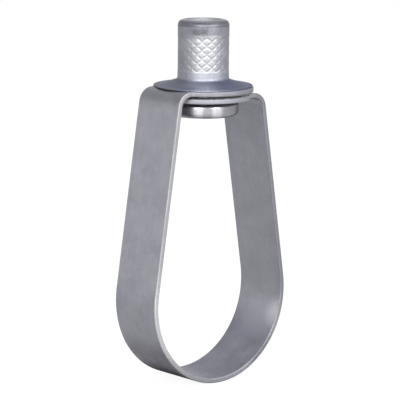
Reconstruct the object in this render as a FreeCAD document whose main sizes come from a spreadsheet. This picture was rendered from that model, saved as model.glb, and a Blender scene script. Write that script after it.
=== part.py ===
import FreeCAD, Part
import math
import os
import Sketcher

# Swivel ring hanger for a pipe: a bent strip whose two round eyes turn on the neck of a tapped nut.
# Frame: the origin is the centre of the pipe seat, +Y runs along the pipe and +Z up along the rod.

# Driving dimensions: name, value in millimetres (or a count), and what it sets
DIMENSIONS = (
    ("seat_radius", 21.6, "inside radius of the ring, where the pipe lies"),
    ("strip_width", 16.0, "width of the strip along the pipe"),
    ("strip_thickness", 1.3, "thickness of the strip and of its two eyes"),
    ("strip_edge_break", 0.25, "break on the rolled edges of the strip"),
    ("lap_height", 53.85, "height of the plane midway between the two overlapping eyes"),
    ("layer_gap", 0.7, "air between the two overlapping eyes"),
    ("shoulder_radius", 2.9, "inside radius of the two shoulder bends"),
    ("shoulder_flat", 0.15, "flat left between the upper eye and its shoulder bend"),
    ("upper_eye_radius", 13.25, "radius of the round eye that lies on top"),
    ("lower_eye_clearance", 0.49, "air between the rim of the lower eye and the bend of the other leg"),
    ("eye_blend", 0.8, "round in the corner between an eye and its leg"),
    ("neck_radius", 5.7, "outside radius of the neck that runs through the eyes"),
    ("neck_clearance", 0.1, "radial running clearance of the eyes around the neck"),
    ("bore_radius", 3.97, "tapping radius of the hole for the hanger rod"),
    ("bore_chamfer", 0.7, "lead-in at both mouths of the tapped hole"),
    ("flange_clearance", 0.05, "running clearance between the flange and the upper eye"),
    ("flange_setback", 0.25, "how far the rim of the flange stays inside the rim of the upper eye"),
    ("flange_rim", 0.3, "thickness of the flange at its rim"),
    ("flange_edge_break", 0.08, "break on the two corners of the rim"),
    ("brim_width", 1.5, "width of the nearly flat brim around the cone of the flange"),
    ("brim_rise", 0.1, "rise of the brim from its rim to the cone"),
    ("flange_rise", 1.15, "rise of the cone from the brim to the foot of its sweep"),
    ("flange_sweep", 0.8, "size of the sweep from the cone up into the barrel"),
    ("barrel_radius", 6.75, "radius of the barrel over its plain bands"),
    ("nut_rise", 17.4, "height of the nut above the underside of its flange"),
    ("barrel_top_round", 1.4, "round on the top edge of the barrel"),
    ("knurl_start", 4.2, "from the underside of the flange to the knurl"),
    ("knurl_length", 9.0, "length of the knurled band"),
    ("knurl_depth", 0.26, "depth of the grooves of the knurl"),
    ("knurl_crest_drop", 0.04, "how far the flat diamonds lie below the plain bands"),
    ("knurl_groove", 0.1, "width between the feet of two diamonds"),
    ("knurl_flank_run", 0.22, "how far a flank leans in over the depth of the grooves"),
    ("knurl_root_sink", 0.03, "how deep the tips of a diamond's foot lie in the core"),
    ("knurl_columns", 16, "diamonds around the barrel in one row"),
    ("knurl_rows", 4, "full rows of diamonds along the knurl"),
    ("collar_clearance", 0.6, "play between the lower eye and the collar under it"),
    ("collar_radius", 9.4, "radius of the collar that keeps the nut in the eyes"),
    ("collar_height", 3.7, "height of the collar"),
    ("collar_top_round", 1.0, "round on the upper edge of the collar"),
    ("collar_bottom_round", 1.4, "round on the lower edge of the collar"),
)

# Heights and radii that follow from the driving dimensions
UPPER_MIDDLE = "Sizes.lap_height + (Sizes.layer_gap + Sizes.strip_thickness) / 2"
LOWER_MIDDLE = "Sizes.lap_height - (Sizes.layer_gap + Sizes.strip_thickness) / 2"
SEAT_MIDDLE_RADIUS = "Sizes.seat_radius + Sizes.strip_thickness / 2"
BEND_MIDDLE_RADIUS = "Sizes.shoulder_radius + Sizes.strip_thickness / 2"
BLEND_REACH = "(Sizes.upper_eye_radius + Sizes.eye_blend) ^ 2"
BLEND_ACROSS = "(Sizes.strip_width / 2 + Sizes.eye_blend) ^ 2"
BEND_CENTRE = f"sqrt({BLEND_REACH} - {BLEND_ACROSS}) + Sizes.shoulder_flat"
BEND_DROP = "(Sizes.shoulder_radius - Sizes.layer_gap) ^ 2"
BEND_INSIDE = f"{BEND_CENTRE} + sqrt(Sizes.shoulder_radius ^ 2 - {BEND_DROP})"
LOWER_EYE_RADIUS = BEND_INSIDE + " - Sizes.lower_eye_clearance"
HOLE_RADIUS = "Sizes.neck_radius + Sizes.neck_clearance"
FLANGE_BOTTOM = UPPER_MIDDLE + " + Sizes.strip_thickness / 2 + Sizes.flange_clearance"
FLANGE_TOP = FLANGE_BOTTOM + " + Sizes.flange_rim"
CONE_FOOT = FLANGE_TOP + " + Sizes.brim_rise"
FLANGE_RADIUS = "Sizes.upper_eye_radius - Sizes.flange_setback"
CONE_RADIUS = FLANGE_RADIUS + " - Sizes.brim_width"
SWEEP_FOOT = CONE_FOOT + " + Sizes.flange_rise"
KNURL_BOTTOM = FLANGE_BOTTOM + " + Sizes.knurl_start"
KNURL_TOP = KNURL_BOTTOM + " + Sizes.knurl_length"
KNURL_ROOT = "Sizes.barrel_radius - Sizes.knurl_depth"
NUT_TOP = FLANGE_BOTTOM + " + Sizes.nut_rise"
COLLAR_TOP = LOWER_MIDDLE + " - Sizes.strip_thickness / 2 - Sizes.collar_clearance"
COLLAR_BOTTOM = COLLAR_TOP + " - Sizes.collar_height"
THROUGH_THE_LAP = "4 * (Sizes.strip_thickness + Sizes.layer_gap)"

START, END, CENTRE = 1, 2, 3
ORIGIN = (-1, 1)
UPRIGHT_AXIS = -2
SAME = 1e-4
EASED_SHARE = 0.3

doc = FreeCAD.newDocument("swivel_ring_hanger")
sheet = doc.addObject("Spreadsheet::Sheet", "Sizes")
for row, (alias, value, meaning) in enumerate(DIMENSIONS, start=1):
    sheet.set(f"A{row}", alias)
    sheet.set(f"B{row}", str(value))
    sheet.set(f"C{row}", meaning)
    sheet.setAlias(f"B{row}", alias)
doc.recompute()


def value_of(expression):
    """The present value of an expression, for the first position of what a constraint then holds."""
    return float(sheet.evalExpression(expression))


def origin_feature(body, role):
    """A plane or axis of a body's own origin, found by its role."""
    return next(feature for feature in body.Origin.OriginFeatures if feature.Role == role)


def new_sketch(body, name, role, lift=None):
    """A sketch on one of the body's origin planes, raised along its normal by an expression."""
    sketch = body.newObject("Sketcher::SketchObject", name)
    sketch.AttachmentSupport = [(origin_feature(body, role), "")]
    sketch.MapMode = "FlatFace"
    if lift is not None:
        sketch.setExpression("AttachmentOffset.Base.z", lift)
    return sketch


def add_dimension(sketch, kind, references, expression, sign=1):
    """A dimensional constraint whose value is bound to an expression."""
    amount = sign * value_of(expression)
    index = sketch.addConstraint(Sketcher.Constraint(kind, *references, amount))
    bound = expression if sign > 0 else f"-({expression})"
    sketch.setExpression(f"Constraints[{index}]", bound)


def add_polygon(sketch, corners):
    """A closed outline through corners given as pairs of expressions.

    An edge whose two ends share an expression is held upright or level instead of dimensioned twice.
    """
    count = len(corners)
    points = [FreeCAD.Vector(value_of(across), value_of(up), 0) for across, up in corners]
    for index in range(count):
        sketch.addGeometry(Part.LineSegment(points[index], points[(index + 1) % count]))
    for index in range(count):
        sketch.addConstraint(Sketcher.Constraint("Coincident", index, END, (index + 1) % count, START))
    for index, corner in enumerate(corners):
        before = corners[index - 1]
        for axis, distance, held in ((0, "DistanceX", "Vertical"), (1, "DistanceY", "Horizontal")):
            if index > 0 and corner[axis] == before[axis]:
                sketch.addConstraint(Sketcher.Constraint(held, index - 1))
            else:
                add_dimension(sketch, distance, (*ORIGIN, index, START), corner[axis])


def circular_edges(shape, radius, height):
    """Names of the level circular edges of a given radius at a given height."""
    names = []
    for number, edge in enumerate(shape.Edges, start=1):
        curve = edge.Curve
        if not isinstance(curve, Part.Circle):
            continue
        if abs(curve.Radius - radius) < SAME and abs(curve.Center.z - height) < SAME:
            names.append(f"Edge{number}")
    return names


def dress_edges(body, kind, name, base, edges, amount):
    """A fillet or chamfer of a bound size on named edges of the feature before it."""
    feature = body.newObject(kind, name)
    feature.Base = (base, edges)
    feature.setExpression("Radius" if kind.endswith("Fillet") else "Size", amount)
    body.Tip = feature
    doc.recompute()
    return feature


def strip_path(body):
    """Centre line of the strip: upper flat, shoulder, leg, ring, leg, shoulder, lower flat.

    Both flats end on the axis of the rod, in the middle of their eyes.
    """
    sketch = new_sketch(body, "strip_path", "XZ_Plane")
    ring_radius = value_of(SEAT_MIDDLE_RADIUS)
    bend_radius = value_of(BEND_MIDDLE_RADIUS)
    bend_x = value_of(BEND_CENTRE)
    upper = value_of(UPPER_MIDDLE)
    lower = value_of(LOWER_MIDDLE)

    def lean_of_leg(flat_height):
        """Angle between a leg and the vertical, for a leg tangent to its bend and to the ring."""
        bend_z = flat_height - bend_radius
        span = math.hypot(bend_x, bend_z)
        return math.atan2(bend_z, bend_x) - math.acos((ring_radius - bend_radius) / span)

    def arc(x, z, radius, first, last):
        circle = Part.Circle(FreeCAD.Vector(x, z, 0), FreeCAD.Vector(0, 0, 1), radius)
        return Part.ArcOfCircle(circle, first, last)

    def on_circle(x, z, radius, angle):
        return FreeCAD.Vector(x + radius * math.cos(angle), z + radius * math.sin(angle), 0)

    left_lean = lean_of_leg(upper)
    right_lean = lean_of_leg(lower)
    left_angle = math.pi - left_lean
    left_z = upper - bend_radius
    right_z = lower - bend_radius
    left_leg = (
        on_circle(-bend_x, left_z, bend_radius, left_angle),
        on_circle(0, 0, ring_radius, left_angle),
    )
    right_leg = (
        on_circle(0, 0, ring_radius, right_lean),
        on_circle(bend_x, right_z, bend_radius, right_lean),
    )
    upper_flat, left_bend, left, ring, right, right_bend, lower_flat = sketch.addGeometry([
        Part.LineSegment(FreeCAD.Vector(0, upper, 0), FreeCAD.Vector(-bend_x, upper, 0)),
        arc(-bend_x, left_z, bend_radius, math.pi / 2, left_angle),
        Part.LineSegment(*left_leg),
        arc(0, 0, ring_radius, left_angle, 2 * math.pi + right_lean),
        Part.LineSegment(*right_leg),
        arc(bend_x, right_z, bend_radius, right_lean, math.pi / 2),
        Part.LineSegment(FreeCAD.Vector(bend_x, lower, 0), FreeCAD.Vector(0, lower, 0)),
    ])
    pieces = (upper_flat, left_bend, left, ring, right, right_bend, lower_flat)
    for piece, following in zip(pieces, pieces[1:]):
        sketch.addConstraint(Sketcher.Constraint("Tangent", piece, END, following, START))
    sketch.addConstraint(Sketcher.Constraint("Coincident", ring, CENTRE, *ORIGIN))
    sketch.addConstraint(Sketcher.Constraint("Horizontal", upper_flat))
    sketch.addConstraint(Sketcher.Constraint("Horizontal", lower_flat))
    add_dimension(sketch, "Radius", (ring,), SEAT_MIDDLE_RADIUS)
    for bend in (left_bend, right_bend):
        add_dimension(sketch, "Radius", (bend,), BEND_MIDDLE_RADIUS)
    add_dimension(sketch, "DistanceX", (left_bend, CENTRE, *ORIGIN), BEND_CENTRE)
    add_dimension(sketch, "DistanceX", (*ORIGIN, right_bend, CENTRE), BEND_CENTRE)
    add_dimension(sketch, "DistanceY", (*ORIGIN, upper_flat, START), UPPER_MIDDLE)
    add_dimension(sketch, "DistanceY", (*ORIGIN, lower_flat, END), LOWER_MIDDLE)
    sketch.addConstraint(Sketcher.Constraint("PointOnObject", upper_flat, START, UPRIGHT_AXIS))
    sketch.addConstraint(Sketcher.Constraint("PointOnObject", lower_flat, END, UPRIGHT_AXIS))
    return sketch


def strip_section(body):
    """Cross-section of the strip where its upper flat meets the axis of the rod, across the path."""
    sketch = new_sketch(body, "strip_section", "YZ_Plane")
    half_width = value_of("Sizes.strip_width / 2")
    top_height = UPPER_MIDDLE + " + Sizes.strip_thickness / 2"
    bottom_height = UPPER_MIDDLE + " - Sizes.strip_thickness / 2"
    top = value_of(top_height)
    bottom = value_of(bottom_height)
    corners = (
        FreeCAD.Vector(-half_width, bottom, 0),
        FreeCAD.Vector(half_width, bottom, 0),
        FreeCAD.Vector(half_width, top, 0),
        FreeCAD.Vector(-half_width, top, 0),
    )
    sides = sketch.addGeometry([
        Part.LineSegment(corners[index - 1], corner) for index, corner in enumerate(corners)
    ])
    for index, side in enumerate(sides):
        following = sides[(index + 1) % len(sides)]
        sketch.addConstraint(Sketcher.Constraint("Coincident", side, END, following, START))
        sketch.addConstraint(Sketcher.Constraint("Horizontal" if index % 2 else "Vertical", side))
    left_side, lower_side, right_side, upper_side = sides
    add_dimension(sketch, "DistanceX", (*ORIGIN, right_side, START), "Sizes.strip_width / 2")
    add_dimension(sketch, "DistanceX", (left_side, START, *ORIGIN), "Sizes.strip_width / 2")
    add_dimension(sketch, "DistanceY", (*ORIGIN, upper_side, START), top_height)
    add_dimension(sketch, "DistanceY", (*ORIGIN, lower_side, START), bottom_height)
    return sketch


def round_eye(body, name, radius, middle, side):
    """The disc at one end of the strip, around the axis of the rod and level with its flat.

    The disc stops at a chord as long as the strip is wide, across its flat: side is +1 where the
    eye's free rim faces +X, and -1 where it faces -X.
    """
    sketch = new_sketch(body, name + "_outline", "XY_Plane", lift=middle + " - Sizes.strip_thickness / 2")
    rim_radius = value_of(radius)
    opening = math.asin(value_of("Sizes.strip_width / 2") / rim_radius)
    turn = 0 if side > 0 else math.pi
    circle = Part.Circle(FreeCAD.Vector(0, 0, 0), FreeCAD.Vector(0, 0, 1), rim_radius)
    rim = Part.ArcOfCircle(circle, turn - math.pi + opening, turn + math.pi - opening)
    arc, chord = sketch.addGeometry([rim, Part.LineSegment(rim.EndPoint, rim.StartPoint)])
    sketch.addConstraint(Sketcher.Constraint("Coincident", arc, END, chord, START))
    sketch.addConstraint(Sketcher.Constraint("Coincident", chord, END, arc, START))
    sketch.addConstraint(Sketcher.Constraint("Coincident", arc, CENTRE, *ORIGIN))
    sketch.addConstraint(Sketcher.Constraint("Vertical", chord))
    add_dimension(sketch, "Radius", (arc,), radius)
    add_dimension(sketch, "DistanceY", (*ORIGIN, chord, START), "Sizes.strip_width / 2", sign=side)
    pad = body.newObject("PartDesign::Pad", name)
    pad.Profile = sketch
    pad.setExpression("Length", "Sizes.strip_thickness")
    body.Tip = pad
    doc.recompute()
    return pad


def neck_hole(body):
    """The round hole through both overlapping eyes."""
    sketch = new_sketch(body, "neck_hole_outline", "XY_Plane", lift="Sizes.lap_height")
    circle = Part.Circle(FreeCAD.Vector(0, 0, 0), FreeCAD.Vector(0, 0, 1), value_of(HOLE_RADIUS))
    hole = sketch.addGeometry(circle)
    sketch.addConstraint(Sketcher.Constraint("Coincident", hole, CENTRE, *ORIGIN))
    add_dimension(sketch, "Radius", (hole,), HOLE_RADIUS)
    pocket = body.newObject("PartDesign::Pocket", "neck_hole")
    pocket.Profile = sketch
    pocket.Midplane = True
    pocket.setExpression("Length", THROUGH_THE_LAP)
    body.Tip = pocket
    doc.recompute()
    return pocket


def is_upright_cylinder(face, radii):
    """Whether a face is a cylinder about an upright axis with one of the given radii."""
    surface = face.Surface
    if not isinstance(surface, Part.Cylinder) or abs(surface.Axis.z) < 1 - SAME:
        return False
    return any(abs(surface.Radius - radius) < SAME for radius in radii)


def is_side(face):
    """Whether a face is one of the flat rolled sides of the strip."""
    return isinstance(face.Surface, Part.Plane) and abs(face.Surface.Axis.y) > 1 - SAME


def inner_corners(shape, eye_radii):
    """Names of the upright edges where an eye meets a side of its leg."""
    names = []
    for number, edge in enumerate(shape.Edges, start=1):
        faces = shape.ancestorsOfType(edge, Part.Face)
        on_side = any(is_side(face) for face in faces)
        on_eye = any(is_upright_cylinder(face, eye_radii) for face in faces)
        if on_side and on_eye:
            names.append(f"Edge{number}")
    return names


def long_edges(shape, rim_radii):
    """Names of the edges where a broad face of the strip meets its side or the rim of an eye."""

    def is_rim(face):
        return is_side(face) or is_upright_cylinder(face, rim_radii)

    return [
        f"Edge{number}"
        for number, edge in enumerate(shape.Edges, start=1)
        if sum(is_rim(face) for face in shape.ancestorsOfType(edge, Part.Face)) == 1
    ]


def build_band():
    """The bent strip: swept along its path, given an eye at each end, pierced, its edges eased."""
    body = doc.addObject("PartDesign::Body", "band")
    path = strip_path(body)
    section = strip_section(body)
    doc.recompute()
    sweep = body.newObject("PartDesign::AdditivePipe", "bent_strip")
    sweep.Profile = section
    sweep.Spine = path
    body.Tip = sweep
    doc.recompute()
    round_eye(body, "upper_eye", "Sizes.upper_eye_radius", UPPER_MIDDLE, side=1)
    eyes = round_eye(body, "lower_eye", LOWER_EYE_RADIUS, LOWER_MIDDLE, side=-1)
    eye_radii = [value_of("Sizes.upper_eye_radius"), value_of(LOWER_EYE_RADIUS)]
    corners = inner_corners(eyes.Shape, eye_radii)
    blends = dress_edges(body, "PartDesign::Fillet", "eye_blends", eyes, corners, "Sizes.eye_blend")
    rims = long_edges(blends.Shape, [*eye_radii, value_of("Sizes.eye_blend")])
    dress_edges(body, "PartDesign::Chamfer", "broken_rims", blends, rims, "Sizes.strip_edge_break")
    neck_hole(body)
    return body


def cut_corner(radius, across, height, up, amount):
    """A corner of the section cut back once, from its level side to its upright side.

    The signs tell which way the level side runs across from the corner and the upright side up from it.
    """
    return (f"{radius} {across} {amount}", height), (radius, f"{height} {up} {amount}")


def eased_corner(radius, across, height, up, amount):
    """A corner of the section cut back twice, close to a round of the given size."""
    first, last = cut_corner(radius, across, height, up, amount)
    middle = (f"{radius} {across} {amount} * {EASED_SHARE}", f"{height} {up} {amount} * {EASED_SHARE}")
    return first, middle, last


def build_nut_blank():
    """The turned nut before knurling: collar, neck, flange and barrel in one revolved section."""
    body = doc.addObject("PartDesign::Body", "nut_blank")
    sketch = new_sketch(body, "nut_section", "XZ_Plane")
    add_polygon(sketch, (
        ("Sizes.bore_radius", COLLAR_BOTTOM),
        *eased_corner("Sizes.collar_radius", "-", COLLAR_BOTTOM, "+", "Sizes.collar_bottom_round"),
        *reversed(eased_corner("Sizes.collar_radius", "-", COLLAR_TOP, "-", "Sizes.collar_top_round")),
        ("Sizes.neck_radius", COLLAR_TOP),
        ("Sizes.neck_radius", FLANGE_BOTTOM),
        *cut_corner(FLANGE_RADIUS, "-", FLANGE_BOTTOM, "+", "Sizes.flange_edge_break"),
        *reversed(cut_corner(FLANGE_RADIUS, "-", FLANGE_TOP, "-", "Sizes.flange_edge_break")),
        (CONE_RADIUS, CONE_FOOT),
        *eased_corner("Sizes.barrel_radius", "+", SWEEP_FOOT, "+", "Sizes.flange_sweep"),
        ("Sizes.barrel_radius", KNURL_BOTTOM),
        (KNURL_ROOT, KNURL_BOTTOM),
        (KNURL_ROOT, KNURL_TOP),
        ("Sizes.barrel_radius", KNURL_TOP),
        *reversed(eased_corner("Sizes.barrel_radius", "-", NUT_TOP, "-", "Sizes.barrel_top_round")),
        ("Sizes.bore_radius", NUT_TOP),
    ))
    turned = body.newObject("PartDesign::Revolution", "turned_nut")
    turned.Profile = sketch
    turned.ReferenceAxis = (sketch, ["V_Axis"])
    turned.Angle = 360
    body.Tip = turned
    doc.recompute()
    feature = turned
    for name, height in (("upper_mouth", NUT_TOP), ("lower_mouth", COLLAR_BOTTOM)):
        edges = circular_edges(feature.Shape, value_of("Sizes.bore_radius"), value_of(height))
        feature = dress_edges(body, "PartDesign::Chamfer", name, feature, edges, "Sizes.bore_chamfer")
    return body


def diamond_stud(levels):
    """A tapered diamond with flat faces, facing -Y, between two levels.

    Each level gives its distance from the axis and the half width and half height of its diamond.
    """
    foot, top = (
        [
            FreeCAD.Vector(-half_width, -distance, 0),
            FreeCAD.Vector(0, -distance, half_height),
            FreeCAD.Vector(half_width, -distance, 0),
            FreeCAD.Vector(0, -distance, -half_height),
        ]
        for distance, half_width, half_height in levels
    )
    flanks = [
        [foot[index - 1], foot[index], top[index], top[index - 1]] for index in range(len(foot))
    ]
    faces = [Part.Face(Part.makePolygon([*corners, corners[0]])) for corners in (foot, top, *flanks)]
    return Part.makeSolid(Part.Shell(faces))


def build_knurl():
    """The diamonds of the knurl: tapered studs with flat crests, in staggered rows around the core.

    The first and last rows are centred on the two ends of the knurl, so that half of each runs into
    the plain band there, as a rolled knurl runs out.
    """
    columns = round(value_of("Sizes.knurl_columns"))
    rows = round(value_of("Sizes.knurl_rows"))
    groove = value_of("Sizes.knurl_groove")
    lean = value_of("Sizes.knurl_flank_run / Sizes.knurl_depth")
    tip_radius = value_of(KNURL_ROOT + " - Sizes.knurl_root_sink")
    foot_distance = tip_radius * math.cos(math.pi / columns)
    crest_distance = value_of("Sizes.barrel_radius - Sizes.knurl_crest_drop")
    half_width = tip_radius * math.sin(math.pi / columns)
    row_pitch = value_of("Sizes.knurl_length") / rows
    half_height = row_pitch / 2
    diagonal = math.hypot(half_width, half_height)

    def level_at(distance):
        """The diamond at a distance from the axis, with its sides set in from the middle of the grooves."""
        inset = groove / 2 + (distance - foot_distance) * lean
        width_inset = inset * diagonal / half_height
        height_inset = inset * diagonal / half_width
        return distance, half_width - width_inset, half_height - height_inset

    stud = diamond_stud((level_at(foot_distance), level_at(crest_distance)))
    bottom = value_of(KNURL_BOTTOM)
    axis = FreeCAD.Vector(0, 0, 1)
    studs = []
    for level in range(2 * rows + 1):
        for column in range(columns):
            copy = stud.copy()
            copy.rotate(FreeCAD.Vector(0, 0, 0), axis, (column + (level % 2) / 2) * 360 / columns)
            copy.translate(FreeCAD.Vector(0, 0, bottom + level * half_height))
            studs.append(copy)
    knurl = doc.addObject("Part::Feature", "knurl_diamonds")
    knurl.Shape = Part.makeCompound(studs)
    return knurl


def build_nut():
    """The finished nut: the turned blank with the diamonds of its knurl."""
    nut = doc.addObject("Part::Fuse", "swivel_nut")
    nut.Base = build_nut_blank()
    nut.Tool = build_knurl()
    return nut


def check_and_export(sub_parts):
    """Writes one file per sub-part, after every object of the document has been found sound."""
    doc.recompute()
    for thing in doc.Objects:
        if "Invalid" in thing.State or "Error" in thing.State:
            raise RuntimeError(f"{thing.Label} failed: {thing.State}")
    os.makedirs("parts", exist_ok=True)
    for sub_part in sub_parts:
        shape = sub_part.Shape
        if shape.isNull() or not shape.isValid() or len(shape.Solids) != 1:
            raise RuntimeError(f"{sub_part.Label} is not one valid solid")
        shape.exportStep(f"parts/{sub_part.Label}.step")


band = build_band()
nut = build_nut()
for sub_part in (band, nut):
    sub_part.Placement = FreeCAD.Placement()
check_and_export((band, nut))
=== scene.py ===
import math

import bmesh
import bpy
from mathutils import Matrix, Vector


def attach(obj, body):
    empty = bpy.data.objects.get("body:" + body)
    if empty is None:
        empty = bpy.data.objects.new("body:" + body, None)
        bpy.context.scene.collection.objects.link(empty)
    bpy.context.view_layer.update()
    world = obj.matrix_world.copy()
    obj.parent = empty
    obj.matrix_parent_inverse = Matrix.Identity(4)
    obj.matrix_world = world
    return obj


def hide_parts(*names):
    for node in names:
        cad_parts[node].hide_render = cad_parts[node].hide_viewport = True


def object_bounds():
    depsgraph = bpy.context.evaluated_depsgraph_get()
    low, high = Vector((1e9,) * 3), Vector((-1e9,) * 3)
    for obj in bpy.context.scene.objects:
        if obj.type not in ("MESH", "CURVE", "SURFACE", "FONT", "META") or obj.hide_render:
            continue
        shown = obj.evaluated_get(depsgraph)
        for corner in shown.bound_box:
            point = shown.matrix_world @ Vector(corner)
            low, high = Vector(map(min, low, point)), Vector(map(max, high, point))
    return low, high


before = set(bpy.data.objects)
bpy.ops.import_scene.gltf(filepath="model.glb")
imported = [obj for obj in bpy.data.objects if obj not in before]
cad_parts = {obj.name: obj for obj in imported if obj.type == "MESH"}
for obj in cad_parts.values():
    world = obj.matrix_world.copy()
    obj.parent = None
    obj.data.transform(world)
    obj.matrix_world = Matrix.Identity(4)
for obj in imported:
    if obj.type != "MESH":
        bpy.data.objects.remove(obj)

CAD_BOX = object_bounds()
MM = 0.001

# Sizes of the CAD model that the pieces below share, in millimetres
SEAT_RADIUS = 21.6
STRIP_WIDTH = 16.0
STRIP_THICKNESS = 1.3
LAP_HEIGHT = 53.85
LAYER_GAP = 0.7
SHOULDER_HALF_WIDTH = 15.303
SHOULDER_RADIUS = 2.9
UPPER_EYE_RADIUS = 13.25
LOWER_EYE_RADIUS = 12.502
EYE_BLEND = 0.8
HOLE_RADIUS = 5.8
NECK_RADIUS = 5.7
BORE_RADIUS = 3.97
THREAD_RADIUS = 4.76
THREAD_PITCH = 1.5875
BORE_CHAMFER = 0.7
FLANGE_BOTTOM = 55.55
FLANGE_RADIUS = 13.0
FLANGE_TOP = 55.85
CONE_RADIUS = 11.5
CONE_FOOT = 55.95
CONE_TOP = 57.333
BARREL_RADIUS = 6.75
NUT_TOP = 72.95
BARREL_TOP_ROUND = 1.4
KNURL_BOTTOM = 59.75
KNURL_LENGTH = 9.0
KNURL_COLUMNS = 16
KNURL_ROWS = 4
COLLAR_RADIUS = 9.4
COLLAR_TOP = 51.6
COLLAR_BOTTOM = 47.9
COLLAR_TOP_ROUND = 1.0
COLLAR_BOTTOM_ROUND = 1.4

# Rounds of the edges and corners, in millimetres
RIM_ROUND = 0.3
CHAMFER_ROUND = 0.15
FLANGE_ROUND = 0.12
CONE_ROUND = 5.0
BARREL_FOOT_ROUND = 1.0

# The knurl's crossed grooves and how its pattern is sunk and fades at its ends, in millimetres
GROOVE_FLOOR_HALF_WIDTH = 0.02
GROOVE_MOUTH_HALF_WIDTH = 0.42
GROOVE_DEPTH = 0.07
KNURL_SINK = 0.03
KNURL_FADE = 0.25
KNURL_MARGIN = 0.3

# The height of the cylinder that cuts the neck hole, more than that of the lap, in millimetres
CUTTER_HEIGHT = 6

# The thread's crest and flank, as shares of half a pitch
THREAD_CREST = 0.125
THREAD_FLANK = 0.7

# How finely the strip is divided
LINE_STEPS = 10
BEND_STEP = math.radians(2)
LEAST_BEND_STEPS = 12
EYE_STEPS = 60
EYE_BLEND_STEPS = 8
RIM_STEPS = 5
FACE_STEPS = 10
HOLE_SIDES = 96

# How finely the nut and its thread are divided
ROUND_STEPS = 8
TOP_ROUND_STEPS = 12
NUT_SIDES = 352
KNURL_LEVELS = 100
THREAD_SIDES = 72
THREAD_LEVELS_PER_TURN = 12

# Vertices nearer than this are one, in metres
WELD = 0.000001

# Level directions from the nut's axis: to the side that the photograph shows, and to the right of it
FRONT = (-0.663, -0.748, 0.0)
FRONT_RIGHT = (0.748, -0.663, 0.0)

# Where the nut's colour changes, in its own tone and in painted light and shade: the heights between which
# a zone fades in, then out, in millimetres
NUT_ZONES = {
    "collar_top": ((50.7, 51.1), (51.6, 51.7)),
    "neck": ((51.4, 51.6), (55.4, 55.5)),
    "flange": ((55.4, 55.7), (57.2, 58.2)),
    "barrel": ((55.0, 56.0), (68.5, 69.5)),
    "knurl": ((59.2, 60.6), (68.2, 69.0)),
    "plain": ((68.8, 69.5), (71.2, 71.4)),
    "crown": ((71.3, 71.5), (72.7, 72.9)),
}

# How much rougher than the rest of the nut each zone is
NUT_ROUGHNESS = {"barrel": 0.28, "plain": 0.2, "crown": 0.24, "collar": 0.06, "mouth": 0.2}

# Patches of painted light, painted highlights and painted dark reflections: the centre and the reach of
# each in millimetres, and its colour
# Painted highlights on the front rims, low on each leg
RIM_PATCHES = (
    ((-21.5, -8.0, -4.0), (9.0, 4.0, 13.0), (0.46, 0.46, 0.47)),
    ((18.5, -8.0, -7.5), (6.0, 4.0, 6.5), (0.3, 0.3, 0.31)),
)
# Painted highlights inside the ring, low on the +X leg
FACE_PATCHES = (
    ((19.5, -3.0, -9.0), (6.0, 9.0, 5.5), (0.42, 0.42, 0.46)),
    ((20.5, -8.0, -6.9), (4.2, 5.0, 3.9), (0.62, 0.62, 0.64)),
)
# Painted light on the cone beside the barrel's foot, left of the front
FLANGE_PATCHES = (
    ((-7.1, -4.7, 57.2), (3.6, 3.6, 1.4), (0.24, 0.25, 0.295)),
)
# A painted highlight at the top of the knurl's front, then painted dark reflections on the plain band
# above it
BARREL_PATCHES = (
    ((-3.3, -5.9, 68.95), (3.6, 3.6, 0.55), (0.56, 0.56, 0.57)),
    ((-4.2, -5.3, 70.4), (5.0, 5.0, 2.0), (0.14, 0.142, 0.16)),
    ((-5.7, -3.6, 70.15), (1.1, 1.3, 1.1), (0.1, 0.102, 0.115)),
    ((-4.6, -4.9, 70.35), (1.4, 1.6, 1.2), (0.09, 0.092, 0.105)),
)

# The inputs of a colour mix node that are its factor and colours, and the output that is the result
MIX_FACTOR, MIX_FIRST, MIX_SECOND = 0, 6, 7
MIX_RESULT = 2

# The photograph's camera: azimuth, elevation and roll in degrees, place in metres, lens in millimetres
CAMERA_ANGLES = (-41.554, 10.063, -0.563)
CAMERA_PLACE = (-0.40884, -0.46046, 0.13438)
CAMERA_LENS = 212.95


# Node helpers

def new_material(name):
    """A material, its node tree and its shader."""
    material = bpy.data.materials.new(name)
    material.use_nodes = True
    tree = material.node_tree
    shader = next(node for node in tree.nodes if node.type == "BSDF_PRINCIPLED")
    return material, tree, shader


def add_node(tree, kind, inputs=None, **settings):
    """A node whose inputs are linked where a socket is given, and set where a value is."""
    node = tree.nodes.new(kind)
    for key, value in settings.items():
        setattr(node, key, value)
    for key, value in (inputs or {}).items():
        if isinstance(value, bpy.types.NodeSocket):
            tree.links.new(value, node.inputs[key])
        else:
            node.inputs[key].default_value = value
    return node


def calculate(tree, operation, *values):
    """The result of a math node."""
    return add_node(tree, "ShaderNodeMath", dict(enumerate(values)), operation=operation).outputs["Value"]


def measure(tree, operation, *vectors):
    """The single value that a vector math node gives."""
    node = add_node(tree, "ShaderNodeVectorMath", dict(enumerate(vectors)), operation=operation)
    return node.outputs["Value"]


def product(tree, first, *others):
    """The product of several values."""
    for other in others:
        first = calculate(tree, "MULTIPLY", first, other)
    return first


def stretched(tree, source, scale):
    """Coordinates stretched along their axes."""
    return add_node(tree, "ShaderNodeMapping", {"Vector": source, "Scale": scale}).outputs["Vector"]


def length_of(tree, source, scale):
    """The length of coordinates stretched along their axes, where a scale of zero leaves an axis out."""
    return measure(tree, "LENGTH", stretched(tree, source, scale))


def place(tree):
    """Where a point is on its piece, in millimetres, as a vector and as its three parts."""
    where = add_node(tree, "ShaderNodeTexCoord").outputs["Object"]
    vector = stretched(tree, where, (1 / MM, 1 / MM, 1 / MM))
    return vector, add_node(tree, "ShaderNodeSeparateXYZ", {"Vector": vector}).outputs


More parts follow.
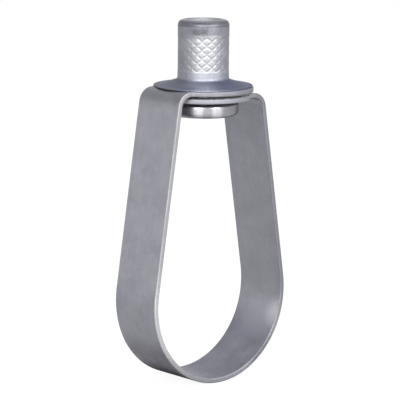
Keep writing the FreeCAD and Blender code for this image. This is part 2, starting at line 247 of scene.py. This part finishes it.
def noise(tree, coordinates, scale, detail=4.0, roughness=0.55):
    """A cloudy noise between nothing and one."""
    node = add_node(
        tree, "ShaderNodeTexNoise",
        {"Vector": coordinates, "Scale": scale, "Detail": detail, "Roughness": roughness},
    )
    return node.outputs["Fac"]


def mix_colour(tree, factor, first, second, blend="MIX"):
    """Two colours mixed by a factor; each is a socket, or red, green and blue."""
    inputs = {MIX_FACTOR: factor}
    for index, colour in ((MIX_FIRST, first), (MIX_SECOND, second)):
        inputs[index] = colour if isinstance(colour, bpy.types.NodeSocket) else (*colour, 1.0)
    return add_node(tree, "ShaderNodeMix", inputs, data_type="RGBA", blend_type=blend).outputs[MIX_RESULT]


def spread(tree, value, low, high, to_low=0.0, to_high=1.0):
    """A value mapped smoothly from one range to another."""
    node = add_node(
        tree, "ShaderNodeMapRange",
        {"Value": value, "From Min": low, "From Max": high, "To Min": to_low, "To Max": to_high},
        interpolation_type="SMOOTHSTEP",
    )
    return node.outputs["Result"]


def between(tree, value, rise, fall):
    """One between two limits of a value and nothing outside them, with soft edges."""
    return product(tree, spread(tree, value, *rise), spread(tree, value, *fall, 1.0, 0.0))


def add_patches(tree, parts, base, patches, edge):
    """A base colour with soft patches on it, whose edges wander with a noise."""
    wander, outside, inside = 1.6, 2.5, 0.3
    for centre, reach, colour in patches:
        total = calculate(tree, "MULTIPLY", edge, wander)
        for axis, middle, size in zip("XYZ", centre, reach):
            away = calculate(tree, "MULTIPLY_ADD", parts[axis], 1 / size, -middle / size)
            total = calculate(tree, "ADD", total, calculate(tree, "MULTIPLY", away, away))
        base = mix_colour(tree, spread(tree, total, outside, inside), base, colour)
    return base


def add_bump(tree, shader, height):
    """The faint relief of a finish, three hundredths of a millimetre deep."""
    bump = add_node(tree, "ShaderNodeBump", {"Height": height, "Distance": 0.03 * MM, "Strength": 0.6})
    tree.links.new(bump.outputs["Normal"], shader.inputs["Normal"])


def scaled(colour, factor):
    """A colour that is lighter or darker by a factor."""
    return [part * factor for part in colour]


def grey(level):
    """A colour with no hue."""
    return (level, level, level)


# Materials

def galvanised(name, light, dark, roughness, scuffing, paint_light):
    """Dull zinc on rolled strip: mottling, spangle, faint rolling lines along the strip and small scuffs.

    The textures run over the flat blank, in metres. The function given last then paints light, shade and
    highlights over them by place.
    """
    material, tree, shader = new_material(name)
    shader.inputs["Metallic"].default_value = 1.0
    blank = add_node(tree, "ShaderNodeUVMap", uv_map="strip").outputs["UV"]
    cloud = noise(tree, blank, 140.0, detail=5.0)
    spangle = add_node(tree, "ShaderNodeTexVoronoi", {"Vector": blank, "Scale": 520.0}).outputs["Color"]
    grain = add_node(tree, "ShaderNodeRGBToBW", {"Color": spangle}).outputs["Val"]
    lines = noise(tree, stretched(tree, blank, (0.03, 1.0, 1.0)), 2600.0, detail=3.0, roughness=0.7)
    scuffs = noise(tree, stretched(tree, blank, (0.25, 1.0, 1.0)), 900.0, detail=6.0, roughness=0.75)
    base = mix_colour(tree, spread(tree, cloud, 0.3, 0.7), dark, light)
    base = mix_colour(tree, spread(tree, grain, 0.2, 0.9, 0.0, 0.25), base, scaled(light, 1.18))
    base = mix_colour(tree, spread(tree, lines, 0.35, 0.75, 0.0, 0.22), base, scaled(dark, 0.78))
    base = mix_colour(tree, spread(tree, scuffs, 0.62, 0.8, 0.0, scuffing), base, scaled(light, 1.45))
    base = paint_light(tree, base, cloud)
    tree.links.new(base, shader.inputs["Base Color"])
    dull = spread(tree, cloud, 0.2, 0.8, roughness - 0.06, roughness + 0.08)
    tree.links.new(dull, shader.inputs["Roughness"])
    add_bump(tree, shader, calculate(tree, "ADD", lines, cloud))
    return material


def paint_rim_light(tree, base, cloud):
    """Painted light and shade on the rim below the upper eye: lighter than the upper eye's rim, bright on
    the -X leg, dark on the +X leg, with painted highlights low on both.
    """
    _, parts = place(tree)
    # Painted shade and light: the upper eye's rim darker than the rims below it, the +X leg's rim darker
    # and the -X leg's rim lighter
    base = mix_colour(tree, spread(tree, parts["Z"], 54.0, 53.5), base, (0.315, 0.317, 0.345))
    base = mix_colour(tree, spread(tree, parts["X"], 9.0, 13.0), base, (0.215, 0.217, 0.238))
    base = mix_colour(tree, spread(tree, parts["X"], -9.5, -12.5), base, (0.34, 0.34, 0.35))
    # Painted highlights low on the front rims
    return add_patches(tree, parts, base, RIM_PATCHES, cloud)


def paint_face_light(tree, base, cloud):
    """Painted light and shade on the face: darker low down, on the +X leg and on the lap, with painted
    highlights inside the ring.

    Under the ring a painted light band lies above a painted dark reflection. Between the two eyes painted
    light lifts the shade.
    """
    vector, parts = place(tree)
    outside = spread(tree, length_of(tree, vector, (1.0, 0.0, 1.0)), SEAT_RADIUS + 0.6, SEAT_RADIUS + 1.1)
    # Under the ring, on the outer face: a painted light band above a painted dark reflection of the floor
    under_light = product(tree, spread(tree, parts["Z"], -13.0, -16.8), outside)
    under_shade = product(tree, spread(tree, parts["Z"], -16.8, -21.5), outside)
    # Painted light and shade: lighter high up and darker low down, darker on the +X leg and on the lap's
    # top
    shade = mix_colour(tree, spread(tree, parts["Z"], 12.0, -6.0), grey(1.1), grey(0.9))
    shade = mix_colour(tree, under_light, shade, grey(1.25))
    shade = mix_colour(tree, spread(tree, parts["X"], -12.0, 12.0), shade, grey(0.93))
    shade = mix_colour(tree, under_shade, shade, grey(0.4))
    shade = mix_colour(tree, spread(tree, parts["Z"], 50.0, 53.0), shade, (0.92, 0.91, 0.88))
    base = mix_colour(tree, 1.0, base, shade, "MULTIPLY")
    # Painted highlights inside the ring
    base = add_patches(tree, parts, base, FACE_PATCHES, cloud)
    # Painted light on the faces between the two eyes, where the gap lies in shade
    lap_bottom = (LAP_HEIGHT - 0.55, LAP_HEIGHT - 0.45)
    lap_top = (LAP_HEIGHT + 0.45, LAP_HEIGHT + 0.55)
    inside = spread(tree, length_of(tree, vector, (1.0, 1.0, 0.0)), 12.5, 12.2)
    lapped = product(tree, between(tree, parts["Z"], lap_bottom, lap_top), inside)
    return mix_colour(tree, lapped, base, (0.8, 0.8, 0.82))


def front_sector(tree, vector, radius):
    """Where a point is round the nut: how far it is to the front, and the sine of its angle from there."""
    beside = measure(tree, "DOT_PRODUCT", vector, FRONT_RIGHT)
    return measure(tree, "DOT_PRODUCT", vector, FRONT), calculate(tree, "DIVIDE", beside, radius)


def collar_highlights(tree, toward, share, collar):
    """Two painted highlights down the collar, one each side of its front."""
    left = between(tree, share, (-0.35, -0.2), (-0.08, 0.06))
    right = between(tree, share, (0.2, 0.34), (0.46, 0.6))
    return product(tree, calculate(tree, "ADD", left, right), spread(tree, toward, 0.0, 4.0), collar)


def flange_highlights(tree, toward, share, radius, flange):
    """Painted highlights: light streaks that run out to the rim of the flange over a sector at its front.
    """
    across = add_node(tree, "ShaderNodeCombineXYZ", {"X": share}).outputs["Vector"]
    painted_streaks = spread(tree, noise(tree, across, 14.0, detail=2.0), 0.3, 0.6, 0.3, 1.0)
    sector = between(tree, share, (-0.28, 0.0), (0.12, 0.36))
    outward = spread(tree, radius, 7.8, 11.8)
    return product(tree, painted_streaks, sector, spread(tree, toward, 0.0, 4.0), outward, flange)


def zinc(name):
    """Bright zinc plate on the turned nut: darker and bluer over the flange, dull on the barrel, with
    painted highlights, reflections and shade laid over it.
    """
    material, tree, shader = new_material(name)
    shader.inputs["Metallic"].default_value = 1.0
    vector, parts = place(tree)
    height = parts["Z"]
    radius = length_of(tree, vector, (1.0, 1.0, 0.0))
    toward, share = front_sector(tree, vector, radius)
    section = add_node(tree, "ShaderNodeCombineXYZ", {"X": radius, "Z": height}).outputs["Vector"]
    cloud = noise(tree, vector, 0.22)
    speckle = noise(tree, vector, 1.8, detail=5.0, roughness=0.7)
    turning = noise(tree, section, 5.0, detail=2.0)

    zones = {zone: between(tree, height, *limits) for zone, limits in NUT_ZONES.items()}
    zones["collar"] = spread(tree, height, 53.5, 52.5)
    zones["lip"] = spread(tree, height, 72.7, 72.9)
    zones["mouth"] = product(tree, spread(tree, height, 69.0, 71.5), spread(tree, radius, 5.6, 5.2))
    # An even grey over the front of the knurl
    knurl_front = product(tree, zones["knurl"], spread(tree, toward, 3.0, 6.8, 0.0, 0.8))
    # Painted shade: the crown dark all round and darkest at the front, a painted dark reflection that dims
    # the lamps' highlight
    crown_front = between(tree, share, (-0.8, 0.0), (0.0, 0.8))
    crown_shade = mix_colour(tree, crown_front, (0.19, 0.192, 0.21), (0.075, 0.076, 0.085))
    # The flange's own dark blue, with painted reflection: greyer on the left and darker on the right
    left_to_middle = spread(tree, share, -0.7, -0.3)
    middle_to_right = spread(tree, share, 0.25, 0.55)
    flange_tint_and_shade = mix_colour(tree, left_to_middle, (0.16, 0.167, 0.197), (0.165, 0.177, 0.225))
    flange_tint_and_shade = mix_colour(tree, middle_to_right, flange_tint_and_shade, (0.128, 0.137, 0.195))

    base = mix_colour(tree, spread(tree, cloud, 0.3, 0.7), (0.285, 0.29, 0.325), (0.35, 0.355, 0.39))
    for factor, colour in (
        (zones["collar"], (0.33, 0.33, 0.345)),
        # Painted highlights on the collar
        (collar_highlights(tree, toward, share, zones["collar"]), (0.56, 0.56, 0.58)),
        # Painted shade on the collar's top round, under the band
        (zones["collar_top"], (0.25, 0.25, 0.265)),
        # Painted light on the neck, in the shaded gap between the eyes
        (zones["neck"], (0.75, 0.75, 0.77)),
        (knurl_front, (0.345, 0.346, 0.35)),
        (zones["crown"], crown_shade),
        (zones["lip"], (0.27, 0.27, 0.29)),
        (zones["mouth"], (0.33, 0.33, 0.35)),
        (zones["flange"], flange_tint_and_shade),
    ):
        base = mix_colour(tree, factor, base, colour)
    # Painted light on the cone
    base = add_patches(tree, parts, base, FLANGE_PATCHES, cloud)
    # Painted highlights on the flange
    painted_streaks = flange_highlights(tree, toward, share, radius, zones["flange"])
    base = mix_colour(tree, painted_streaks, base, (0.29, 0.305, 0.355))
    # Painted highlight and painted dark reflections on the barrel's front
    base = add_patches(tree, parts, base, BARREL_PATCHES, speckle)
    base = mix_colour(tree, spread(tree, speckle, 0.55, 0.75, 0.0, 0.3), base, (0.5, 0.5, 0.53))
    tree.links.new(base, shader.inputs["Base Color"])

    dull = spread(tree, cloud, 0.2, 0.8, 0.24, 0.32)
    for zone, more in NUT_ROUGHNESS.items():
        dull = calculate(tree, "MULTIPLY_ADD", zones[zone], more, dull)
    tree.links.new(dull, shader.inputs["Roughness"])
    add_bump(tree, shader, turning)
    return material


def floor_material():
    """A pale floor, white to the camera and dimmer to reflections, dimmest in reflections close round the
    object as a painted shadow, with the object's shadow on it.
    """
    material, tree, shader = new_material("studio_floor")
    shader.inputs["Base Color"].default_value = (0.8, 0.8, 0.81, 1.0)
    shader.inputs["Roughness"].default_value = 0.9
    light_path = add_node(tree, "ShaderNodeLightPath").outputs
    whitened = calculate(tree, "MULTIPLY", light_path["Is Camera Ray"], 0.9)
    white = add_node(tree, "ShaderNodeEmission", {"Color": (*grey(1.0), 1.0), "Strength": 1.03})
    seen = add_node(
        tree, "ShaderNodeMixShader", {0: whitened, 1: shader.outputs["BSDF"], 2: white.outputs["Emission"]}
    )
    vector, _ = place(tree)
    away = length_of(tree, vector, (1.0, 1.0, 1.0))
    # Reflections see the floor dimmer, and dimmest close round the object: a painted shadow
    dimmed = product(tree, light_path["Is Glossy Ray"], spread(tree, away, 5.0, 40.0, 0.85, 0.45))
    black = add_node(tree, "ShaderNodeEmission", {"Strength": 0.0})
    blend = add_node(
        tree, "ShaderNodeMixShader", {0: dimmed, 1: seen.outputs["Shader"], 2: black.outputs["Emission"]}
    )
    output = next(node for node in tree.nodes if node.type == "OUTPUT_MATERIAL")
    tree.links.new(blend.outputs["Shader"], output.inputs["Surface"])
    return material


# Mesh helpers

def finish_mesh(name, bm, materials, sharp_angle):
    """A mesh object from a bmesh, smooth apart from its sharp edges."""
    mesh = bpy.data.meshes.new(name)
    bm.to_mesh(mesh)
    bm.free()
    for material in materials:
        mesh.materials.append(material)
    mesh.shade_smooth()
    mesh.set_sharp_from_angle(angle=math.radians(sharp_angle))
    piece = bpy.data.objects.new(name, mesh)
    bpy.context.scene.collection.objects.link(piece)
    return piece


def tidy_faces(bm):
    """Welds what meets, and turns every face outward."""
    bmesh.ops.remove_doubles(bm, verts=bm.verts, dist=WELD)
    bmesh.ops.recalc_face_normals(bm, faces=bm.faces)


# The strip

def on_arc(centre, radius, angle):
    """The point of a circle at an angle."""
    return centre[0] + radius * math.cos(angle), centre[1] + radius * math.sin(angle)


def straight(start, end):
    """A straight run of the centre line: its length, its steps, its point and normal at a share of it."""
    (x0, z0), (x1, z1) = start, end
    length = math.dist(start, end)
    normal = ((z1 - z0) / length, (x0 - x1) / length)

    def at(share):
        return (x0 + (x1 - x0) * share, z0 + (z1 - z0) * share), normal

    return length, LINE_STEPS, at


def bend(centre, radius, first, last):
    """A round bend of the centre line between two angles, in the same form as a straight run."""
    sweep = last - first

    def at(share):
        angle = first + sweep * share
        return on_arc(centre, radius, angle), (math.cos(angle), math.sin(angle))

    return radius * abs(sweep), max(LEAST_BEND_STEPS, round(abs(sweep) / BEND_STEP)), at


def strip_path():
    """The runs and bends of the strip's centre line, in x and z, from the upper eye to the lower one."""
    half = STRIP_THICKNESS / 2
    ring = SEAT_RADIUS + half
    shoulder = SHOULDER_RADIUS + half
    shoulder_x = SHOULDER_HALF_WIDTH - SHOULDER_RADIUS - STRIP_THICKNESS
    upper = LAP_HEIGHT + (LAYER_GAP + STRIP_THICKNESS) / 2
    lower = LAP_HEIGHT - (LAYER_GAP + STRIP_THICKNESS) / 2

    def lean(level):
        """The angle from level of the normal of a leg that runs from the ring up to a lap at a level."""
        rise = level - shoulder
        return math.atan2(rise, shoulder_x) - math.acos((ring - shoulder) / math.hypot(shoulder_x, rise))

    left, right = math.pi - lean(upper), lean(lower)
    ring_centre = (0, 0)
    left_centre = (-shoulder_x, upper - shoulder)
    right_centre = (shoulder_x, lower - shoulder)
    return (
        straight((UPPER_EYE_RADIUS, upper), (-shoulder_x, upper)),
        bend(left_centre, shoulder, math.pi / 2, left),
        straight(on_arc(left_centre, shoulder, left), on_arc(ring_centre, ring, left)),
        bend(ring_centre, ring, left, 2 * math.pi + right),
        straight(on_arc(ring_centre, ring, right), on_arc(right_centre, shoulder, right)),
        bend(right_centre, shoulder, right, math.pi / 2),
        straight((shoulder_x, lower), (-LOWER_EYE_RADIUS, lower)),
    )


def at_distance(path, distance):
    """The point and the outward normal of the centre line at a distance along it."""
    index = 0
    while index < len(path) - 1 and distance > path[index][0]:
        distance -= path[index][0]
        index += 1
    length, _, at = path[index]
    return at(distance / length)


def eye_outline(radius):
    """The rim of an eye from its tip to the plain strip, as stations.

    A station is its distance along the strip, its half width and the normal of the rim (along, across).
    """
    half_width = STRIP_WIDTH / 2
    away = math.sqrt((radius + EYE_BLEND) ** 2 - (half_width + EYE_BLEND) ** 2)
    opening = math.asin(away / (radius + EYE_BLEND))
    stations = []
    for step in range(EYE_STEPS + 1):
        turn = (opening + math.pi / 2) * step / EYE_STEPS - math.pi / 2
        normal = (math.sin(turn), math.cos(turn))
        stations.append((radius + radius * normal[0], radius * normal[1], normal))
    for step in range(1, EYE_BLEND_STEPS + 1):
        turn = opening * (1 - step / EYE_BLEND_STEPS)
        normal = (math.sin(turn), math.cos(turn))
        along = radius + away - EYE_BLEND * normal[0]
        stations.append((along, half_width + EYE_BLEND - EYE_BLEND * normal[1], normal))
    return stations


def strip_stations(path, total):
    """The stations from the tip of one eye to the tip of the other."""
    clear = 0.01
    first_eye = eye_outline(UPPER_EYE_RADIUS)
    last_eye = eye_outline(LOWER_EYE_RADIUS)
    plain = []
    passed = 0.0
    for length, steps, _ in path:
        for step in range(steps):
            distance = passed + length * step / steps
            if first_eye[-1][0] + clear < distance < total - last_eye[-1][0] - clear:
                plain.append((distance, STRIP_WIDTH / 2, (0.0, 1.0)))
        passed += length
    mirrored = [
        (total - along, half_width, (-normal[0], normal[1]))
        for along, half_width, normal in reversed(last_eye)
    ]
    return first_eye + plain + mirrored


def strip_section():
    """One cross-section: inset from the outline, height over the centre line, share of the half width."""
    half = STRIP_THICKNESS / 2
    quarter = [math.pi / 2 * step / RIM_STEPS for step in range(RIM_STEPS + 1)]
    upper_rim = [
        (RIM_ROUND * (1 - math.sin(angle)), half - RIM_ROUND * (1 - math.cos(angle))) for angle in quarter
    ]
    rim = upper_rim + [(inset, -height) for inset, height in reversed(upper_rim)]
    shares = [1 - 2 * step / FACE_STEPS for step in range(1, FACE_STEPS)]
    section = [(inset, height, 1.0) for inset, height in rim]
    section += [(RIM_ROUND, -half, share) for share in shares]
    section += [(inset, height, -1.0) for inset, height in reversed(rim)]
    section += [(RIM_ROUND, half, -share) for share in shares]
    return section


def bent_strip():
    """The mesh of the strip, its rims with the second material, and its flat blank as the layer strip."""
    path = strip_path()
    total = sum(length for length, _, _ in path)
    section = strip_section()
    bm = bmesh.new()
    layer = bm.loops.layers.uv.new("strip")
    rings = []
    flat = {}
    for distance, half_width, normal in strip_stations(path, total):
        ring = []
        for inset, height, share in section:
            along = distance - inset * normal[0]
            across = share * (half_width - inset * normal[1])
            (x, z), (nx, nz) = at_distance(path, min(max(along, 0.0), total))
            vertex = bm.verts.new((MM * (x + nx * height), MM * across, MM * (z + nz * height)))
            # The texture runs on over the upright edge of the rim, which has no inset
            over = 0.0 if inset else share * height
            flat[vertex] = (MM * along, MM * (across + over))
            ring.append(vertex)
        rings.append(ring)
    for first, second in zip(rings, rings[1:]):
        for index, (_, _, share) in enumerate(section):
            following = (index + 1) % len(section)
            face = bm.faces.new((first[index], first[following], second[following], second[index]))
            # Only on a rim do two neighbours have the same share of the width
            face.material_index = 1 if share == section[following][2] else 0
            for loop in face.loops:
                loop[layer].uv = flat[loop.vert]
    tidy_faces(bm)
    return bm


def pierce(band, edge_material):
    """The neck hole through both eyes of the band, cut in its mesh."""
    bm = bmesh.new()
    bmesh.ops.create_cone(
        bm, cap_ends=True, segments=HOLE_SIDES, radius1=MM * HOLE_RADIUS, radius2=MM * HOLE_RADIUS,
        depth=MM * CUTTER_HEIGHT, matrix=Matrix.Translation((0, 0, MM * LAP_HEIGHT)),
    )
    cutter = finish_mesh("hole_cutter", bm, (edge_material,), sharp_angle=40)
    cut = band.modifiers.new("neck_hole", "BOOLEAN")
    cut.object = cutter
    cut.operation = "DIFFERENCE"
    cut.solver = "EXACT"
    normals = band.modifiers.new("even_normals", "WEIGHTED_NORMAL")
    normals.keep_sharp = True
    graph = bpy.context.evaluated_depsgraph_get()
    shaped = bpy.data.meshes.new_from_object(band.evaluated_get(graph))
    band.modifiers.clear()
    band.data = shaped
    bpy.data.objects.remove(cutter)


def build_band(face_material, edge_material):
    """The strip as it is made: a flat blank with an eye at each end and rolled rims, bent to its path."""
    band = finish_mesh("hanger_band", bent_strip(), (face_material, edge_material), sharp_angle=40)
    pierce(band, edge_material)
    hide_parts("band")
    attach(band, "ring")


# The nut

def turned(levels, sides, radius_at, inward=False):
    """A bmesh skinned over rings round the nut's axis, one for each of the levels.

    A level ends with its height; radius_at gives the radius in millimetres at a level and part of a turn.
    """
    bm = bmesh.new()
    rings = []
    for level in levels:
        ring = []
        for step in range(sides):
            turn = step / sides
            angle = 2 * math.pi * turn - math.pi / 2
            reach = MM * radius_at(*level, turn)
            ring.append(bm.verts.new((reach * math.cos(angle), reach * math.sin(angle), MM * level[-1])))
        rings.append(ring)
    for first, second in zip(rings, rings[1:]):
        for step in range(sides):
            following = (step + 1) % sides
            corners = (first[step], first[following], second[following], second[step])
            bm.faces.new((corners[0], *reversed(corners[1:])) if inward else corners)
    return bm


def rounded(corners, steps):
    """An open outline through corners, each given as its radius, its height and the size of its round."""
    points = []
    for index, (radius, height, amount) in enumerate(corners):
        corner = Vector((radius, height))
        if not amount:
            points.append((radius, height))
            continue
        before = (Vector(corners[index - 1][:2]) - corner).normalized()
        after = (Vector(corners[index + 1][:2]) - corner).normalized()
        half_angle = before.angle(after) / 2
        centre = corner + (before + after).normalized() * amount / math.sin(half_angle)
        first = corner + before * amount / math.tan(half_angle) - centre
        last = corner + after * amount / math.tan(half_angle) - centre
        opening = first.angle(last)
        for step in range(steps + 1):
            share = step / steps
            arm = first * math.sin((1 - share) * opening) + last * math.sin(share * opening)
            points.append(tuple(centre + arm / math.sin(opening)))
    return points


def knurl_depth(turn, height):
    """How deep the crossed grooves of the knurl are at a point of the barrel, in millimetres."""
    pitch = KNURL_LENGTH / KNURL_ROWS
    column = KNURL_COLUMNS * turn
    row = (height - KNURL_BOTTOM) / pitch
    across = 1 / math.hypot(KNURL_COLUMNS / (2 * math.pi * BARREL_RADIUS), 1 / pitch)
    deepest = 0.0
    flank = GROOVE_MOUTH_HALF_WIDTH - GROOVE_FLOOR_HALF_WIDTH
    for phase in (column + row, column - row):
        away = abs(phase - math.floor(phase) - 0.5) * across
        share = min(max((GROOVE_MOUTH_HALF_WIDTH - away) / flank, 0.0), 1.0)
        deepest = max(deepest, GROOVE_DEPTH * share)
    ends = min(height - KNURL_BOTTOM, KNURL_BOTTOM + KNURL_LENGTH - height)
    fade = min(max(ends / KNURL_FADE + 0.5, 0.0), 1.0)
    return (deepest + KNURL_SINK) * fade


def build_nut(material):
    """The turned nut: a fine lathe section whose barrel is pressed in by the knurl."""
    foot = KNURL_BOTTOM - KNURL_MARGIN
    span = KNURL_LENGTH + 2 * KNURL_MARGIN
    below = rounded((
        (BORE_RADIUS, COLLAR_BOTTOM + BORE_CHAMFER, 0),
        (BORE_RADIUS + BORE_CHAMFER, COLLAR_BOTTOM, CHAMFER_ROUND),
        (COLLAR_RADIUS, COLLAR_BOTTOM, COLLAR_BOTTOM_ROUND),
        (COLLAR_RADIUS, COLLAR_TOP, COLLAR_TOP_ROUND),
        (NECK_RADIUS, COLLAR_TOP, 0),
        (NECK_RADIUS, FLANGE_BOTTOM, 0),
        (FLANGE_RADIUS, FLANGE_BOTTOM, FLANGE_ROUND),
        (FLANGE_RADIUS, FLANGE_TOP, FLANGE_ROUND),
        (CONE_RADIUS, CONE_FOOT, CONE_ROUND),
        (BARREL_RADIUS, CONE_TOP, BARREL_FOOT_ROUND),
        (BARREL_RADIUS, foot, 0),
    ), ROUND_STEPS)
    knurl = [(BARREL_RADIUS, foot + span * step / KNURL_LEVELS) for step in range(1, KNURL_LEVELS + 1)]
    above = rounded((
        (BARREL_RADIUS, foot + span, 0),
        (BARREL_RADIUS, NUT_TOP, BARREL_TOP_ROUND),
        (BORE_RADIUS + BORE_CHAMFER, NUT_TOP, CHAMFER_ROUND),
        (BORE_RADIUS, NUT_TOP - BORE_CHAMFER, 0),
    ), TOP_ROUND_STEPS)

    def pressed(radius, height, turn):
        if radius == BARREL_RADIUS and foot <= height <= foot + span:
            return radius - knurl_depth(turn, height)
        return radius

    bm = turned(below + knurl + above[1:], NUT_SIDES, pressed)
    tidy_faces(bm)
    nut = finish_mesh("hanger_nut", bm, (material,), sharp_angle=38)
    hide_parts("swivel_nut")
    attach(nut, "nut")


def build_thread(material):
    """The internal thread of the nut, cut outward from the plain bore."""
    bottom = COLLAR_BOTTOM + BORE_CHAMFER
    top = NUT_TOP - BORE_CHAMFER
    rows = round((top - bottom) / THREAD_PITCH * THREAD_LEVELS_PER_TURN)
    levels = [(bottom + (top - bottom) * row / rows,) for row in range(rows + 1)]

    def cut(height, turn):
        fade = min(min(height - bottom, top - height) / (THREAD_PITCH / 2), 1.0)
        phase = (height / THREAD_PITCH - turn) % 1.0
        flank = min(max((1 - abs(2 * phase - 1) - THREAD_CREST) / THREAD_FLANK, 0.0), 1.0)
        return BORE_RADIUS + (THREAD_RADIUS - BORE_RADIUS) * flank * fade

    bm = turned(levels, THREAD_SIDES, cut, inward=True)
    thread = finish_mesh("nut_thread", bm, (material,), sharp_angle=60)
    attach(thread, "nut")


# Studio

def add_camera():
    """The photograph's camera: a long lens, a little above the object."""
    azimuth, elevation, roll = (math.radians(angle) for angle in CAMERA_ANGLES)
    right = Vector((math.cos(azimuth), math.sin(azimuth), 0))
    back = Vector((
        math.sin(azimuth) * math.cos(elevation),
        -math.cos(azimuth) * math.cos(elevation),
        math.sin(elevation),
    ))
    up = back.cross(right)
    turned_right = right * math.cos(roll) - up * math.sin(roll)
    turned_up = right * math.sin(roll) + up * math.cos(roll)
    camera = bpy.data.objects.new("camera", bpy.data.cameras.new("camera"))
    bpy.context.scene.collection.objects.link(camera)
    rotation = Matrix((turned_right, turned_up, back)).transposed().to_4x4()
    camera.matrix_world = Matrix.Translation(CAMERA_PLACE) @ rotation
    camera.data.sensor_width = 36
    camera.data.lens = CAMERA_LENS
    camera.data.clip_start = 0.01
    camera.data.clip_end = 20
    bpy.context.scene.camera = camera


def add_lamp(name, position, target, size, power):
    """A soft rectangular lamp that faces its target."""
    lamp = bpy.data.lights.new(name, "AREA")
    lamp.shape = "RECTANGLE"
    lamp.size, lamp.size_y = size
    lamp.energy = power
    holder = bpy.data.objects.new(name, lamp)
    holder.location = position
    aim = Vector(target) - Vector(position)
    holder.rotation_euler = aim.to_track_quat("-Z", "Y").to_euler()
    bpy.context.scene.collection.objects.link(holder)


def add_world():
    """A white studio that darkens overhead, as metal sees it; even and grey as a source of light."""
    world = bpy.data.worlds.new("studio")
    bpy.context.scene.world = world
    world.use_nodes = True
    tree = world.node_tree
    background = next(node for node in tree.nodes if node.type == "BACKGROUND")
    light_path = add_node(tree, "ShaderNodeLightPath").outputs
    direction = add_node(tree, "ShaderNodeTexCoord").outputs["Generated"]
    height = add_node(tree, "ShaderNodeSeparateXYZ", {"Vector": direction}).outputs["Z"]
    overhead = spread(tree, height, 0.05, 0.33)
    reflected = mix_colour(tree, overhead, grey(1.15), (0.52, 0.53, 0.58))
    colour = mix_colour(tree, light_path["Is Glossy Ray"], (0.7, 0.7, 0.72), reflected)
    seen = calculate(tree, "MAXIMUM", light_path["Is Camera Ray"], light_path["Is Transmission Ray"])
    colour = mix_colour(tree, seen, colour, grey(1.0))
    tree.links.new(colour, background.inputs["Color"])
    background.inputs["Strength"].default_value = 1.0


def add_floor():
    """A wide floor under the object."""
    bm = bmesh.new()
    bmesh.ops.create_grid(bm, x_segments=1, y_segments=1, size=4)
    floor = finish_mesh("floor", bm, (floor_material(),), sharp_angle=40)
    floor.location.z = CAD_BOX[0][2]


face_zinc = galvanised(
    "galvanised_face", light=(0.365, 0.366, 0.4), dark=(0.312, 0.313, 0.345),
    roughness=0.42, scuffing=0.5, paint_light=paint_face_light,
)
edge_zinc = galvanised(
    "galvanised_edge", light=(0.275, 0.277, 0.303), dark=(0.237, 0.239, 0.263),
    roughness=0.72, scuffing=0.15, paint_light=paint_rim_light,
)
nut_zinc = zinc("zinc_plate")
build_band(face_zinc, edge_zinc)
build_nut(nut_zinc)
build_thread(nut_zinc)
add_camera()
add_world()
add_floor()
add_lamp("key", position=(-0.665, -0.473, 0.42), target=(0, 0, 0.06), size=(0.3, 0.25), power=9.0)
add_lamp("fill", position=(-0.023, -0.816, 0.42), target=(0, 0, 0.06), size=(0.3, 0.25), power=8.0)
add_lamp("top", position=(0.1, 0.05, 0.95), target=(0, 0, 0.05), size=(0.5, 0.5), power=3.0)

scene = bpy.context.scene
scene.view_settings.view_transform = "Standard"
